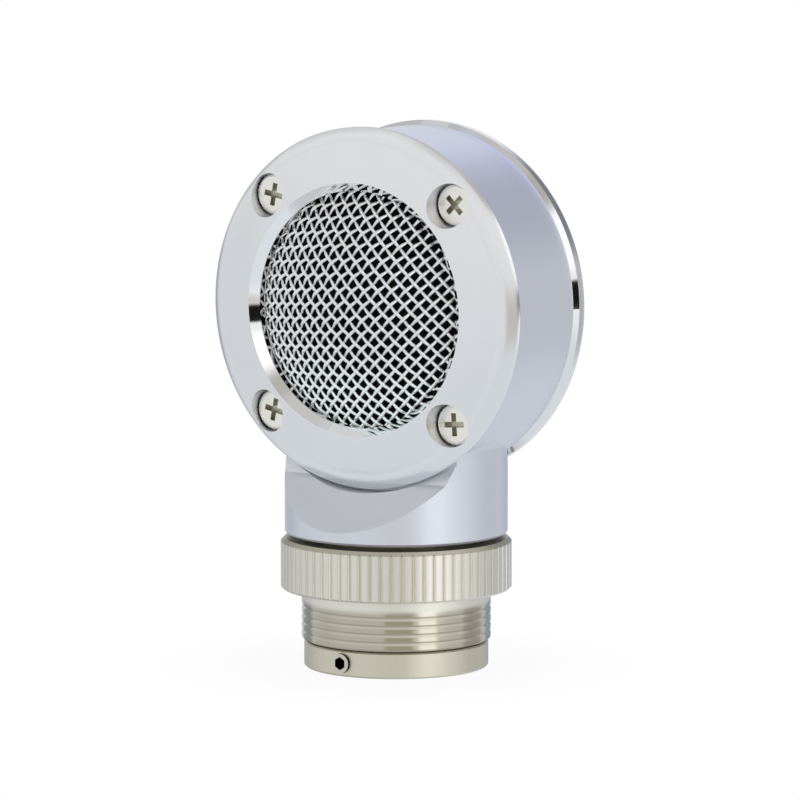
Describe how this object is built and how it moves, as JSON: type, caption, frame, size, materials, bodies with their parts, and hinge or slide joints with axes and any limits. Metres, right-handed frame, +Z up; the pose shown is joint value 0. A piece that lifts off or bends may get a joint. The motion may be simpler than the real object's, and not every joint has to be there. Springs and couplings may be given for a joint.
{
  "type": "electret microphone capsule",
  "caption": "Round side-address microphone capsule head with domed woven grilles in crowned screwed frames, on a short stem with a loose knurled and threaded coupling ring.",
  "frame": {"origin": "centre of the bottom face, on the axis of the stem and of the coupling ring", "axes": "+Z up along the stem to the head, front of the head towards -Y, +X to the right seen from the front"},
  "size_m": [0.037, 0.0238, 0.0562],
  "materials": {
    "satin_silver": "satin metallic",
    "frame_silver": "fine satin, bright bevel",
    "warm_nickel": "nickel plated, turned",
    "dark_nickel": "nickel plated",
    "screw_steel": "nickel plated",
    "wire": "bright drawn wire",
    "foam": "open-cell foam",
    "rubber": "matte",
    "can_metal": "plain",
    "brass": "plain",
    "film": "metallised film",
    "insulator": "moulded",
    "board": "laminate",
    "black_plastic": "moulded",
    "red_lead": "insulation"
  },
  "bodies": {
    "head": {"housing": "satin_silver", "neck_tube": "dark_nickel", "retaining_collar": "warm_nickel", "collar_set_screw": "screw_steel", "front_grille_frame": "frame_silver", "rear_grille_frame": "frame_silver", "front_mesh": "wire", "rear_mesh": "wire", "front_foam": "foam", "rear_foam": "foam", "front_screws": "screw_steel", "rear_screws": "screw_steel", "capsule_mount": "rubber", "capsule_can": "can_metal", "diaphragm_ring": "brass", "diaphragm": "film", "backplate": "brass", "backplate_insulator": "insulator", "capsule_retainer": "brass", "signal_terminal": "brass", "contact_block": "insulator", "centre_contact": "brass", "circuit_board": "board", "transistor": "black_plastic", "resistor": "black_plastic", "signal_wire": "red_lead", "ground_wire": "black_plastic"},
    "coupling": {"coupling_ring": "warm_nickel"}
  },
  "joints": [
    {"name": "coupling_spin", "type": "hinge", "parent": "head", "child": "coupling", "pos_m": [0, 0, 0.0079], "axis": [0, 0, 1], "continuous": true}
  ]
}
